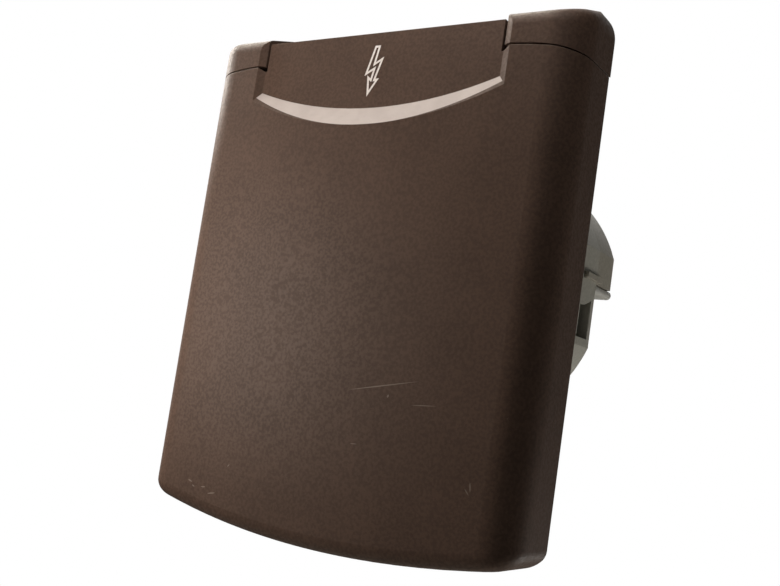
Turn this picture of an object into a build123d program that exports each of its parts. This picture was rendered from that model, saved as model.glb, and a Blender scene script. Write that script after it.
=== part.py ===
# Flush-mounted outdoor mains socket with a hinged weather lid, softly rounded in plan.
#
# Frame: X to the right, Y into the wall, Z up. The origin lies on the wall's surface,
# on the axis of the round housing that passes through the wall. Millimetres.

from build123d import *
from math import cos, pi, radians, sin, sqrt, tan
import os

os.makedirs("parts", exist_ok=True)

# Lid: a shallow cushion form, curved in plan, with a smiling lower edge
cover_width = 130.0
cover_depth = 24.1
front_radius = 900.0
side_radius = 10.5
lid_wall = 2.5
seam_height = 55.7
seam_radius = 100.0
corner_drop = 81.7
smile_drop = 6.9
outline_corner = 10.0
outline_spread = 1.5
lower_round = 4.5
lid_wall_gap = 0.8

# Flat recess at the lid's top: a level floor with sloping borders
recess_half = 42.4
recess_floor = 21.6
recess_corner = 46.9
recess_sag = 6.9
border_run = 1.7
corner_run = 2.0
middle_run = 2.3

# Hinge: one pin through the lid's knuckle, carried in the frame's two ears
knuckle_radius = 3.2
pin_radius = 1.25
pin_clearance = 0.05
pin_press = 0.01
hinge_gap = 0.4
tongue_rise = 7.4
ear_wall = 5.0
ear_front_height = 64.0
ear_slope = 20.0
ear_round = 4.5
ear_corner = 10.0
ear_corner_height = 63.0
bridge_drop = 2.2
rim_points = 7
spring_wire = 0.35
spring_turns = 4.25
spring_pitch = 1.5
spring_slack = 0.2
spring_leg = 7.0

# Mounting frame: the plate on the wall, with a sealing collar
plate_side_gap = 2.5
plate_low_gap = 5.2
plate_thickness = 3.0
plate_corner = 8.0
collar_radius = 48.0
collar_wall = 3.5
collar_height = 6.0
seal_thickness = 2.6
seal_gap = 0.25
fixing_inset = 8.0
fixing_z = 46.0
fixing_radius = 2.2
fixing_head = 4.2
wall_gasket_inset = 2.0
wall_gasket_width = 3.0
wall_gasket_thickness = 1.4

# Housing behind the wall: a drum with two flat sides and a snap-on terminal cover
drum_radius = 47.0
drum_flat = 44.0
drum_depth = 61.0
drum_wall = 2.5
cover_length = 15.0
cover_sill = 5.3
cover_round = 2.0
box_screw_circle = 39.8
box_screw_turn = 45.0
box_screw_radius = 1.6
box_screw_head = 3.3
box_screw_length = 13.0
boss_radius = 4.0
boss_length = 11.0
window_front = 53.3
window_rear = 58.6
window_top = -0.9
window_height = 13.0
window_slant = 2.1
ramp_front = 47.0
ramp_depth = 1.5
tab_length = 11.0
tab_height = 1.8
tab_thickness = 1.3
tab_catch = 2.0
tab_hook = 1.6
tab_lift = 0.5
snap_clearance = 0.2
fit_clearance = 0.1

# Cable clamp under the terminal cover
clamp_thickness = 3.0
clamp_margin = 0.4
cable_hole = 4.6
grommet_wall = 1.1
grommet_lip = 1.0
clamp_screw_x = 26.0
clamp_screw_radius = 1.4
clamp_screw_head = 2.7
clamp_screw_length = 11.0
clamp_boss = 3.2
screw_head_rise = 1.6

# Socket insert: round face with a plug well, two pin holes and two earth clips
insert_flange = 35.0
insert_flange_thickness = 2.5
insert_face = 32.6
face_clearance = 0.4
face_rise = 2.0
well_radius = 20.0
well_rim = 2.6
well_rim_rise = 4.0
well_depth = 17.5
well_floor = 4.0
well_wall = 2.0
key_width = 5.0
key_height = 1.4
pin_spacing = 19.0
pin_hole = 2.7

# Contacts and their carrier
block_radius = 18.5
block_length = 14.0
sleeve_radius = 3.3
sleeve_wall = 0.9
contact_clearance = 0.15
sleeve_slot = 1.0
terminal_width = 7.0
terminal_height = 8.0
terminal_length = 9.0
terminal_floor = 2.0
wire_hole = 1.6
terminal_screw_radius = 1.7
terminal_screw_head = 2.6
terminal_screw_rise = 2.2
slot_width = 0.7
slot_depth = 0.8
strip_width = 6.0
strip_thickness = 0.8
clip_bulge = 1.6
block_screw_x = 12.5
block_screw_z = 8.5
block_screw_radius = 1.4
block_screw_head = 2.5
block_screw_bite = 3.0

# Worked-out places
arc_centre = front_radius - cover_depth
hinge_y = knuckle_radius - recess_floor
tongue_top = seam_height + tongue_rise
hinge_z = tongue_top - knuckle_radius
tongue_half = recess_half - hinge_gap / 2
ear_inner = recess_half + hinge_gap / 2
form_low = -(corner_drop + smile_drop + cover_depth)
form_high = ear_front_height + cover_depth
seam_low = seam_height - cover_depth
plate_half = cover_width / 2 - lid_wall - plate_side_gap
plate_drop = corner_drop - lid_wall - plate_low_gap
fixing_x = plate_half - fixing_inset
coil_radius = pin_radius + spring_slack + spring_wire
coil_length = spring_turns * spring_pitch
leg_room = spring_wire + spring_slack
leg_drift = spring_leg * spring_pitch / (2 * pi * coil_radius)
tab_front = drum_depth - tab_length
tab_low = cover_sill + tab_lift
clamp_y = drum_depth + cover_length / 2
face_front = -(plate_thickness + face_rise)
hinge_plane = Plane((0, hinge_y, hinge_z), x_dir=(1, 0, 0), z_dir=(0, -1, 0))
hinge_axis = Axis((0, hinge_y, hinge_z), (1, 0, 0))


def at_depth(y):
    """Plane facing the front at a depth: sketch axes are X and Z, and a negative extrude goes into the wall."""
    return Plane.XZ.offset(-y)


def front_y(x):
    """Depth of the cushion's front surface at a distance from the middle."""
    round_x = cover_width / 2 - side_radius
    round_y = arc_centre - sqrt((front_radius - side_radius) ** 2 - round_x**2)
    if x <= front_radius * round_x / (front_radius - side_radius):
        return arc_centre - sqrt(front_radius**2 - x**2)
    return round_y - sqrt(side_radius**2 - (x - round_x) ** 2)


def cushion(inset, low, high):
    """The front form between two heights: an arc in plan with widely rounded sides, shrunk by an inset."""
    half = cover_width / 2 - inset
    radius = front_radius - inset
    edge_y = arc_centre - sqrt(radius**2 - half**2)
    back = side_radius / 4
    with BuildPart() as form:
        with BuildSketch(Plane.XY.offset(low)) as plan:
            with BuildLine():
                Line((-half, back), (-half, edge_y))
                ThreePointArc((-half, edge_y), (0, arc_centre - radius), (half, edge_y))
                Line((half, edge_y), (half, back))
                Line((half, back), (-half, back))
            make_face()
            fillet(plan.vertices().group_by(Axis.Y)[0], side_radius - inset)
        extrude(amount=high - low)
    return form.part


def lid_outline(inset):
    """The lid's front outline as a prism: straight sides and a lower edge that sags in the middle."""
    half = cover_width / 2 + outline_spread - inset
    low = inset - corner_drop - smile_drop
    rise = smile_drop * (2 * half / cover_width) ** 2
    with BuildPart() as prism:
        with BuildSketch(at_depth(cover_depth)) as outline:
            with BuildLine():
                Line((-half, form_high), (-half, low + rise))
                ThreePointArc((-half, low + rise), (0, low), (half, low + rise))
                Line((half, low + rise), (half, form_high))
                Line((half, form_high), (-half, form_high))
            make_face()
            fillet(outline.vertices().filter_by_position(Axis.Z, form_low, 0), outline_corner - inset)
        extrude(amount=3 * cover_depth)
    return prism.part


def recess(backing):
    """The recess at the top of the front: a flat floor whose borders slope out to the surface."""
    reach = cover_depth - recess_floor + hinge_gap
    with BuildPart() as form:
        for ahead in (0.0, reach):
            half = recess_half + backing + border_run * ahead
            corner = recess_corner - backing - corner_run * ahead
            middle = recess_corner - recess_sag - backing - middle_run * ahead
            with BuildSketch(at_depth(backing - recess_floor - ahead)):
                with BuildLine():
                    Line((-half, form_high), (-half, corner))
                    ThreePointArc((-half, corner), (0, middle), (half, corner))
                    Line((half, corner), (half, form_high))
                    Line((half, form_high), (-half, form_high))
                make_face()
        loft()
    return form.part


def seam_z(x):
    """Height of the seam beside the tongue: level there, bowing down towards the outer side."""
    return seam_height - seam_radius + sqrt(seam_radius**2 - (x - ear_inner) ** 2)


def spool():
    """Room that the ears need as the lid turns: the seam line of one shoulder spun about the hinge."""
    turn_x = cover_width / 2 - side_radius
    round_y = arc_centre - sqrt((front_radius - side_radius) ** 2 - turn_x**2)
    behind_x = turn_x + sqrt(side_radius**2 - (round_y - hinge_y) ** 2)
    start = tongue_half - hinge_gap
    rim = []
    for i in range(rim_points):
        x = start + (behind_x - start) * i / (rim_points - 1)
        rim.append((x, sqrt((front_y(x) - hinge_y) ** 2 + (hinge_z - seam_z(x)) ** 2) + hinge_gap))
    end = (cover_width, hinge_z - seam_z(cover_width / 2) + hinge_gap)
    with BuildPart() as form:
        with BuildSketch(hinge_plane):
            with BuildLine():
                Spline(*rim)
                Line(rim[-1], end)
                Line(end, (end[0], 0))
                Line((end[0], 0), (start, 0))
                Line((start, 0), rim[0])
            make_face()
        revolve(axis=hinge_axis)
    return form.part


def drum_face(inset):
    """The housing's section: a circle with two flat sides."""
    Circle(drum_radius - inset)
    Rectangle(2 * (drum_flat - inset), 2 * drum_radius, mode=Mode.INTERSECT)


recess_cut = recess(0.0)
shoulder_room = spool()

# Lid: the cushion form hollowed from behind, with a ring rib for the seal and the hinge knuckle
with BuildPart() as lid_form:
    add(cushion(0.0, form_low, tongue_top))
    add(lid_outline(0.0), mode=Mode.INTERSECT)
    low_edges = lid_form.edges().filter_by_position(Axis.Z, form_low, outline_corner - corner_drop)
    side_ends = low_edges.filter_by(GeomType.LINE).group_by(Axis.X)
    fillet(low_edges.filter_by(GeomType.BSPLINE) + side_ends[0] + side_ends[-1], lower_round)

with BuildPart() as lid_hollow:
    add(cushion(lid_wall, form_low, form_high))
    add(lid_outline(lid_wall), mode=Mode.INTERSECT)
    add(recess(lid_wall), mode=Mode.SUBTRACT)

collar_face = -(plate_thickness + collar_height)
seal_face = collar_face - seal_gap - seal_thickness
with BuildPart() as seal_rib:
    with BuildSketch(at_depth(seal_face)):
        Circle(collar_radius)
        Circle(collar_radius - collar_wall, mode=Mode.SUBTRACT)
    extrude(amount=cover_depth)
    add(cushion(lid_wall / 2, form_low, form_high), mode=Mode.INTERSECT)

with BuildPart() as lid:
    add(lid_form.part)
    add(lid_hollow.part, mode=Mode.SUBTRACT)
    add(seal_rib.part)
    # Knuckle along the tongue's top
    with BuildSketch(Plane.YZ.offset(-tongue_half)):
        with Locations((hinge_y, hinge_z)):
            Circle(knuckle_radius)
    extrude(amount=2 * tongue_half)
    add(recess_cut, mode=Mode.SUBTRACT)
    # Shoulders end at the seam and clear the ears as the lid turns
    with BuildSketch(at_depth(cover_depth)):
        with Locations((0, seam_low)):
            Rectangle(2 * cover_width, form_high, align=(Align.CENTER, Align.MIN))
            Rectangle(2 * tongue_half, form_high, align=(Align.CENTER, Align.MIN), mode=Mode.SUBTRACT)
        with Locations((-ear_inner, seam_height - seam_radius), (ear_inner, seam_height - seam_radius)):
            Circle(seam_radius - hinge_gap, mode=Mode.SUBTRACT)
    extrude(amount=3 * cover_depth, mode=Mode.SUBTRACT)
    add(shoulder_room, mode=Mode.SUBTRACT)
    add(mirror(shoulder_room, about=Plane.YZ, mode=Mode.PRIVATE), mode=Mode.SUBTRACT)
    # Open back, a little clear of the wall
    with Locations((0, -lid_wall_gap, 0)):
        Box(
            2 * cover_width,
            cover_depth,
            4 * cover_width,
            align=(Align.CENTER, Align.MIN, Align.CENTER),
            mode=Mode.SUBTRACT,
        )
    # Pin bore
    with BuildSketch(Plane.YZ.offset(-tongue_half)):
        with Locations((hinge_y, hinge_z)):
            Circle(pin_radius + pin_press)
    extrude(amount=2 * tongue_half, mode=Mode.SUBTRACT)
    # Pocket for the spring, open to the rear, and the groove for its leg
    pocket_half = coil_length / 2 + 3 * spring_wire + hinge_gap
    with BuildSketch(Plane.YZ.offset(-pocket_half)):
        with Locations((hinge_y, hinge_z)):
            Circle(coil_radius + spring_wire + spring_slack)
            Rectangle(
                2 * knuckle_radius,
                2 * (coil_radius + spring_wire + spring_slack),
                align=(Align.MIN, Align.CENTER),
            )
    extrude(amount=2 * pocket_half, mode=Mode.SUBTRACT)
    with Locations((coil_length / 2 - leg_room, hinge_y - coil_radius - leg_room, hinge_z)):
        Box(
            2 * leg_room + leg_drift,
            2 * knuckle_radius,
            spring_leg + leg_room,
            align=(Align.MIN, Align.MIN, Align.MAX),
            mode=Mode.SUBTRACT,
        )
lid.part.label = "lid"
export_step(lid.part, "parts/lid.step")

# Lid seal: a rubber ring on the rib's end
with BuildPart() as lid_seal:
    with BuildSketch(at_depth(seal_face)):
        Circle(collar_radius)
        Circle(collar_radius - collar_wall, mode=Mode.SUBTRACT)
    extrude(amount=-seal_thickness)
    fillet(lid_seal.edges().group_by(Axis.Y)[-1], collar_wall / 5)
lid_seal.part.label = "lid_seal"
export_step(lid_seal.part, "parts/lid_seal.step")

# Hinge pin: pressed into the knuckle, turning in the ears
pin_half = ear_inner + ear_wall - hinge_gap
with BuildPart() as hinge_pin:
    with BuildSketch(Plane.YZ.offset(-pin_half)):
        with Locations((hinge_y, hinge_z)):
            Circle(pin_radius)
    extrude(amount=2 * pin_half)
    chamfer(hinge_pin.edges().filter_by(GeomType.CIRCLE), pin_radius / 4)
hinge_pin.part.label = "hinge_pin"
export_step(hinge_pin.part, "parts/hinge_pin.step")

# Lid spring: a torsion coil about the pin, one leg in the tongue's groove and one in the bridge
with BuildPart() as lid_spring:
    with BuildLine():
        coil = Helix(
            spring_pitch,
            coil_length,
            coil_radius,
            center=(-coil_length / 2, hinge_y, hinge_z),
            direction=(1, 0, 0),
        )
    with BuildSketch(coil ^ 0):
        Circle(spring_wire)
    sweep(path=coil, is_frenet=True)
    coil_ends = lid_spring.faces().filter_by(GeomType.PLANE)
    extrude(coil_ends.sort_by_distance(coil @ 0)[0], amount=knuckle_radius + hinge_gap + lid_wall)
    extrude(coil_ends.sort_by_distance(coil @ 1)[0], amount=spring_leg)
lid_spring.part.label = "lid_spring"
export_step(lid_spring.part, "parts/lid_spring.step")


def ear_top(y):
    """Height of the frame's sloping top at a depth."""
    return ear_front_height + tan(radians(ear_slope)) * (y - front_y(ear_inner))


def block_prism(low, drop, front, left, right):
    """A prism between a level floor and the sloping top, from a front depth to the wall's surface."""
    with BuildPart() as prism:
        with BuildSketch(Plane.YZ.offset(left)):
            with BuildLine():
                Polyline(
                    (front, seam_low),
                    (front, ear_top(front) - drop),
                    (0, ear_top(0) - drop),
                    (0, seam_low),
                    close=True,
                )
            make_face()
            with Locations((0, low)):
                Rectangle(2 * cover_depth, 2 * form_high, align=(Align.MAX, Align.MIN), mode=Mode.INTERSECT)
        extrude(amount=right - left)
    return prism.part


# Hinge block: the frame's rounded top, with two ears beside the tongue and a lower bridge behind it
bridge_front = hinge_y + knuckle_radius + hinge_gap
ear_pocket = ear_inner + ear_wall
with BuildPart() as hinge_block:
    add(cushion(0.0, seam_low, form_high))
    add(
        block_prism(seam_low, 0.0, -cover_depth, -cover_width, cover_width),
        mode=Mode.INTERSECT,
    )
    top_edges = hinge_block.faces().sort_by(Axis.Z)[-1].edges()
    fillet(top_edges.filter_by_position(Axis.Y, -cover_depth, -lid_wall_gap), ear_round)
    # Outer corners, rounded as seen from the front
    with BuildSketch(at_depth(cover_depth)):
        with Locations((0, ear_corner_height + ear_corner)):
            RectangleRounded(
                cover_width,
                2 * form_high,
                ear_corner,
                align=(Align.CENTER, Align.MAX),
            )
    extrude(amount=3 * cover_depth, mode=Mode.INTERSECT)
    # Lower faces along the bowed seam, and the gap for the tongue
    with BuildSketch(at_depth(cover_depth)):
        with Locations((-ear_inner, seam_height - seam_radius), (ear_inner, seam_height - seam_radius)):
            Circle(seam_radius)
    extrude(amount=3 * cover_depth, mode=Mode.SUBTRACT)
    with BuildSketch(Plane.YZ.offset(-ear_inner)):
        Rectangle(4 * cover_depth, 4 * form_high)
    extrude(amount=2 * ear_inner, mode=Mode.SUBTRACT)
    add(recess_cut, mode=Mode.SUBTRACT)
    add(block_prism(seam_height, bridge_drop, bridge_front, -ear_inner, ear_inner))

with BuildPart() as ear_hollow:
    add(cushion(lid_wall, form_low, form_high))
    add(
        block_prism(seam_height + lid_wall, lid_wall, -cover_depth, ear_pocket, cover_width),
        mode=Mode.INTERSECT,
    )

# Mounting frame: wall plate with a sealing collar, carrying the hinge block
gasket_half = plate_half - wall_gasket_inset
gasket_low = wall_gasket_inset - plate_drop
gasket_high = seam_height - wall_gasket_inset


def gasket_face(slack):
    """Section of the wall gasket: a rounded rectangle as a band, widened by a slack."""
    height = gasket_high - gasket_low
    corner = plate_corner - wall_gasket_inset
    with Locations((0, (gasket_high + gasket_low) / 2)):
        RectangleRounded(2 * (gasket_half + slack), height + 2 * slack, corner + slack)
        RectangleRounded(
            2 * (gasket_half - wall_gasket_width - slack),
            height - 2 * (wall_gasket_width + slack),
            corner - wall_gasket_width - slack,
            mode=Mode.SUBTRACT,
        )


with BuildPart() as mounting_frame:
    with BuildSketch(at_depth(0)) as plate:
        with Locations((0, seam_height + lid_wall)):
            Rectangle(
                2 * plate_half,
                plate_drop + seam_height + lid_wall,
                align=(Align.CENTER, Align.MAX),
            )
        fillet(plate.vertices().group_by(Axis.Z)[0], plate_corner)
    extrude(amount=plate_thickness)
    with BuildSketch(at_depth(-plate_thickness)):
        Circle(collar_radius)
        Circle(collar_radius - collar_wall, mode=Mode.SUBTRACT)
    extrude(amount=collar_height)
    add(hinge_block.part)
    # Hollows of the hinge block, open towards the wall
    add(ear_hollow.part, mode=Mode.SUBTRACT)
    add(mirror(ear_hollow.part, about=Plane.YZ, mode=Mode.PRIVATE), mode=Mode.SUBTRACT)
    add(
        block_prism(
            seam_height + lid_wall,
            bridge_drop + lid_wall,
            bridge_front + lid_wall,
            -ear_inner,
            ear_inner,
        ),
        mode=Mode.SUBTRACT,
    )
    # Pin bores in the ears and the slot for the spring's leg
    with BuildSketch(Plane.YZ.offset(-ear_pocket)):
        with Locations((hinge_y, hinge_z)):
            Circle(pin_radius + pin_clearance)
    extrude(amount=2 * ear_pocket, mode=Mode.SUBTRACT)
    with Locations((leg_room - coil_length / 2, bridge_front, hinge_z + coil_radius)):
        Box(
            2 * leg_room + leg_drift,
            3 * lid_wall,
            2 * leg_room,
            align=(Align.MAX, Align.CENTER, Align.CENTER),
            mode=Mode.SUBTRACT,
        )
    # Socket opening, gasket groove and screw holes
    with BuildSketch(at_depth(0)):
        Circle(insert_face + face_clearance)
    extrude(amount=plate_thickness, mode=Mode.SUBTRACT)
    with BuildSketch(at_depth(0)):
        gasket_face(snap_clearance)
    extrude(amount=wall_gasket_thickness, mode=Mode.SUBTRACT)
    with Locations(at_depth(-plate_thickness)):
        with GridLocations(2 * fixing_x, 2 * fixing_z, 2, 2):
            CounterSinkHole(fixing_radius, fixing_head)
        with PolarLocations(box_screw_circle, 4, start_angle=box_screw_turn):
            CounterSinkHole(box_screw_radius + snap_clearance, box_screw_head + snap_clearance)
mounting_frame.part.label = "mounting_frame"
export_step(mounting_frame.part, "parts/mounting_frame.step")

# Wall gasket: a flat foam band in the plate's groove, flush with the plate's back
with BuildPart() as wall_gasket:
    with BuildSketch(at_depth(0)):
        gasket_face(0.0)
    extrude(amount=wall_gasket_thickness)
wall_gasket.part.label = "wall_gasket"
export_step(wall_gasket.part, "parts/wall_gasket.step")

# Back box: the drum behind the wall, with flat sides, screw bosses and an open upper rear
shelf = insert_flange_thickness
with BuildPart() as back_box:
    with BuildSketch(at_depth(0)):
        drum_face(0.0)
    extrude(amount=-drum_depth)
    with BuildSketch(at_depth(0)):
        drum_face(drum_wall)
    extrude(amount=-shelf, mode=Mode.SUBTRACT)
    with BuildSketch(at_depth(shelf + drum_wall)):
        drum_face(drum_wall)
    extrude(amount=-(drum_depth - shelf - 2 * drum_wall), mode=Mode.SUBTRACT)
    with BuildSketch(at_depth(shelf)):
        Circle(insert_face - drum_wall)
    extrude(amount=-drum_wall, mode=Mode.SUBTRACT)
    # Screw bosses behind the shelf
    with BuildSketch(at_depth(shelf)):
        with PolarLocations(box_screw_circle, 4, start_angle=box_screw_turn):
            Circle(boss_radius)
    extrude(amount=-boss_length)
    with BuildSketch(at_depth(shelf)):
        with PolarLocations(box_screw_circle, 4, start_angle=box_screw_turn):
            Circle(box_screw_radius + fit_clearance)
    extrude(amount=-boss_length, mode=Mode.SUBTRACT)
    # Upper rear opening to the terminals, inside the cover's outline
    with BuildSketch(at_depth(drum_depth)):
        drum_face(2 * drum_wall)
        with Locations((0, cover_sill + 2 * drum_wall)):
            Rectangle(2 * drum_radius, drum_radius, align=(Align.CENTER, Align.MIN), mode=Mode.INTERSECT)
    extrude(amount=drum_wall, mode=Mode.SUBTRACT)
    # Window in each flat, with a slanted top, and the notch for the cover's catch
    with BuildSketch(Plane.YZ.offset(-drum_radius)):
        with BuildLine():
            Polyline(
                (window_front, window_top - window_slant),
                (window_rear, window_top),
                (window_rear, window_top - window_height),
                (window_front, window_top - window_height),
                close=True,
            )
        make_face()
        with Locations((tab_front - snap_clearance, tab_low - snap_clearance)):
            Rectangle(
                tab_catch + 2 * snap_clearance,
                tab_height + 2 * snap_clearance,
                align=(Align.MIN, Align.MIN),
            )
    extrude(amount=2 * drum_radius, mode=Mode.SUBTRACT)
    # Ramp in each flat that leads down into the window
    for side in (-1, 1):
        with BuildSketch(Plane.XY.offset(window_top - window_height)):
            with BuildLine():
                Polyline(
                    (side * drum_flat, ramp_front),
                    (side * drum_flat, window_front),
                    (side * (drum_flat - ramp_depth), window_front),
                    close=True,
                )
            make_face()
        extrude(amount=window_height - window_slant, mode=Mode.SUBTRACT)
back_box.part.label = "back_box"
export_step(back_box.part, "parts/back_box.step")

# Terminal cover: a deeper cap over the upper rear, held by a snap tab on each flat
with BuildPart() as terminal_cover:
    with BuildSketch(at_depth(drum_depth)):
        drum_face(0.0)
        with Locations((0, cover_sill)):
            Rectangle(2 * drum_radius, drum_radius, align=(Align.CENTER, Align.MIN), mode=Mode.INTERSECT)
    extrude(amount=-cover_length)
    fillet(terminal_cover.edges().group_by(Axis.Y)[-1], cover_round)
    with BuildSketch(at_depth(drum_depth)):
        drum_face(drum_wall)
        with Locations((0, cover_sill + drum_wall)):
            Rectangle(2 * drum_radius, drum_radius, align=(Align.CENTER, Align.MIN), mode=Mode.INTERSECT)
    extrude(amount=-(cover_length - drum_wall), mode=Mode.SUBTRACT)
    # Snap tabs: a rail on each side that reaches forward along the flat and hooks into its notch
    for side in (-1, 1):
        with BuildSketch(Plane.XY.offset(tab_low)):
            with BuildLine():
                Polyline(
                    (side * (drum_flat - drum_wall / 2), drum_depth + tab_catch),
                    (side * (drum_flat + snap_clearance + tab_thickness), drum_depth + tab_catch),
                    (side * (drum_flat + snap_clearance + tab_thickness), tab_front),
                    (side * (drum_flat - tab_hook), tab_front + tab_catch / 2),
                    (side * (drum_flat - tab_hook), tab_front + tab_catch),
                    (side * (drum_flat + snap_clearance), tab_front + tab_catch),
                    (side * (drum_flat + snap_clearance), drum_depth),
                    (side * (drum_flat - drum_wall / 2), drum_depth),
                    close=True,
                )
            make_face()
        extrude(amount=tab_height)
    # Cable hole in the sill and bosses for the clamp's screws
    with BuildSketch(Plane.XY.offset(cover_sill + drum_wall)):
        with Locations((-clamp_screw_x, clamp_y), (clamp_screw_x, clamp_y)):
            Circle(clamp_boss)
    extrude(amount=clamp_screw_length - clamp_thickness)
    with BuildSketch(Plane.XY.offset(cover_sill)):
        with Locations((0, clamp_y)):
            Circle(cable_hole)
    extrude(amount=drum_wall, mode=Mode.SUBTRACT)
    with BuildSketch(Plane.XY.offset(cover_sill)):
        with Locations((-clamp_screw_x, clamp_y), (clamp_screw_x, clamp_y)):
            Circle(clamp_screw_radius + fit_clearance)
    extrude(amount=clamp_screw_length - clamp_thickness, mode=Mode.SUBTRACT)
terminal_cover.part.label = "terminal_cover"
export_step(terminal_cover.part, "parts/terminal_cover.step")

# Cable clamp: a bar with rounded ends under the sill, with the cable's exit in its middle
with BuildPart() as cable_clamp:
    with BuildSketch(at_depth(drum_depth + clamp_margin)):
        with Locations((0, cover_sill - clamp_thickness / 2)):
            SlotOverall(2 * drum_flat, clamp_thickness)
    extrude(amount=-(cover_length - 2 * clamp_margin))
    with BuildSketch(Plane.XY.offset(cover_sill - clamp_thickness)):
        with Locations((0, clamp_y)):
            Circle(cable_hole)
        with Locations((-clamp_screw_x, clamp_y), (clamp_screw_x, clamp_y)):
            Circle(clamp_screw_radius + fit_clearance)
    extrude(amount=clamp_thickness, mode=Mode.SUBTRACT)
cable_clamp.part.label = "cable_clamp"
export_step(cable_clamp.part, "parts/cable_clamp.step")

# Clamp screws: two round-headed screws driven up into the sill's bosses
clamp_low = cover_sill - clamp_thickness
with BuildPart() as clamp_screws:
    with Locations((-clamp_screw_x, clamp_y, clamp_low), (clamp_screw_x, clamp_y, clamp_low)):
        Cylinder(clamp_screw_radius, clamp_screw_length, align=(Align.CENTER, Align.CENTER, Align.MIN))
        Cylinder(clamp_screw_head, screw_head_rise, align=(Align.CENTER, Align.CENTER, Align.MAX))
    with Locations(
        (-clamp_screw_x, clamp_y, clamp_low - screw_head_rise),
        (clamp_screw_x, clamp_y, clamp_low - screw_head_rise),
    ):
        Box(
            2 * clamp_screw_head,
            slot_width,
            slot_depth,
            align=(Align.CENTER, Align.CENTER, Align.MIN),
            mode=Mode.SUBTRACT,
        )
clamp_screws.part.label = "clamp_screws"
export_step(clamp_screws.part, "parts/clamp_screws.step")

# Cable grommet: a rubber bush through the clamp and the sill
with BuildPart() as cable_grommet:
    with BuildSketch(Plane.XZ.offset(-clamp_y)):
        with BuildLine():
            outer = cable_hole - fit_clearance
            top = cover_sill + drum_wall
            Polyline(
                (outer - grommet_wall, clamp_low - grommet_lip),
                (outer + grommet_lip, clamp_low - grommet_lip),
                (outer + grommet_lip, clamp_low),
                (outer, clamp_low),
                (outer, top),
                (outer + grommet_lip / 3, top),
                (outer, top + grommet_lip),
                (outer - grommet_wall, top + grommet_lip),
                close=True,
            )
        make_face()
    revolve(axis=Axis((0, clamp_y, 0), (0, 0, 1)))
cable_grommet.part.label = "cable_grommet"
export_step(cable_grommet.part, "parts/cable_grommet.step")

# Box screws: four countersunk screws through the plate into the drum's bosses
with BuildPart() as box_screws:
    for turn in range(4):
        angle = radians(box_screw_turn + 90 * turn)
        centre = (box_screw_circle * cos(angle), -plate_thickness, box_screw_circle * sin(angle))
        with BuildSketch(Plane(centre, x_dir=(1, 0, 0), z_dir=(0, 0, 1))):
            with BuildLine():
                Polyline(
                    (0, 0),
                    (box_screw_head, 0),
                    (box_screw_radius, box_screw_head - box_screw_radius),
                    (box_screw_radius, box_screw_length),
                    (0, box_screw_length),
                    close=True,
                )
            make_face()
        revolve(axis=Axis(centre, (0, 1, 0)))
        with Locations(centre):
            Box(
                2 * box_screw_head,
                slot_depth,
                slot_width,
                align=(Align.CENTER, Align.MIN, Align.CENTER),
                mode=Mode.SUBTRACT,
            )
box_screws.part.label = "box_screws"
export_step(box_screws.part, "parts/box_screws.step")

# Socket insert: a round face with the plug well, clamped between plate and drum
rim_front = face_front - well_rim_rise
well_end = rim_front + well_depth
insert_back = well_end + well_floor
with BuildPart() as socket_insert:
    with BuildSketch(Plane.XY):
        with BuildLine():
            Polyline(
                (0, well_end),
                (well_radius, well_end),
                (well_radius, rim_front),
                (well_radius + well_rim, rim_front),
                (well_radius + well_rim + well_rim_rise / 2, face_front),
                (insert_face, face_front),
                (insert_face, 0),
                (insert_flange, 0),
                (insert_flange, insert_flange_thickness),
                (insert_face - drum_wall - fit_clearance, insert_flange_thickness),
                (insert_face - drum_wall - fit_clearance, face_front + drum_wall),
                (well_radius + well_wall, face_front + drum_wall),
                (well_radius + well_wall, insert_back),
                (0, insert_back),
                close=True,
            )
        make_face()
    revolve(axis=Axis.Y)
    # Pin holes, keying ribs and the slots for the earth clips
    with BuildSketch(at_depth(well_end)):
        with GridLocations(pin_spacing, 0, 2, 1):
            Circle(pin_hole)
    extrude(amount=-well_floor, mode=Mode.SUBTRACT)
    with BuildSketch(at_depth(well_end)):
        with GridLocations(2 * well_radius, 0, 2, 1):
            Rectangle(2 * key_height, key_width)
        Circle(well_radius + well_wall / 2, mode=Mode.INTERSECT)
    extrude(amount=well_depth - well_rim_rise / 2)
    with BuildSketch(at_depth(face_front)):
        with GridLocations(0, 2 * well_radius, 1, 2):
            Rectangle(strip_width + 2 * snap_clearance, 4 * well_wall)
    extrude(amount=-(insert_back - face_front), mode=Mode.SUBTRACT)
    # Blind holes for the block's screws
    with BuildSketch(at_depth(insert_back)):
        with Locations((-block_screw_x, block_screw_z), (block_screw_x, -block_screw_z)):
            Circle(block_screw_radius + fit_clearance)
    extrude(amount=block_screw_bite + fit_clearance, mode=Mode.SUBTRACT)
socket_insert.part.label = "socket_insert"
export_step(socket_insert.part, "parts/socket_insert.step")

# Contact block: the rear carrier for the two sleeves
block_back = insert_back + block_length
with BuildPart() as contact_block:
    with BuildSketch(at_depth(insert_back)):
        Circle(block_radius)
        with GridLocations(pin_spacing, 0, 2, 1):
            Circle(sleeve_radius + contact_clearance, mode=Mode.SUBTRACT)
        with Locations((-block_screw_x, block_screw_z), (block_screw_x, -block_screw_z)):
            Circle(block_screw_radius + fit_clearance, mode=Mode.SUBTRACT)
    extrude(amount=-block_length)
contact_block.part.label = "contact_block"
export_step(contact_block.part, "parts/contact_block.step")

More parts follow.
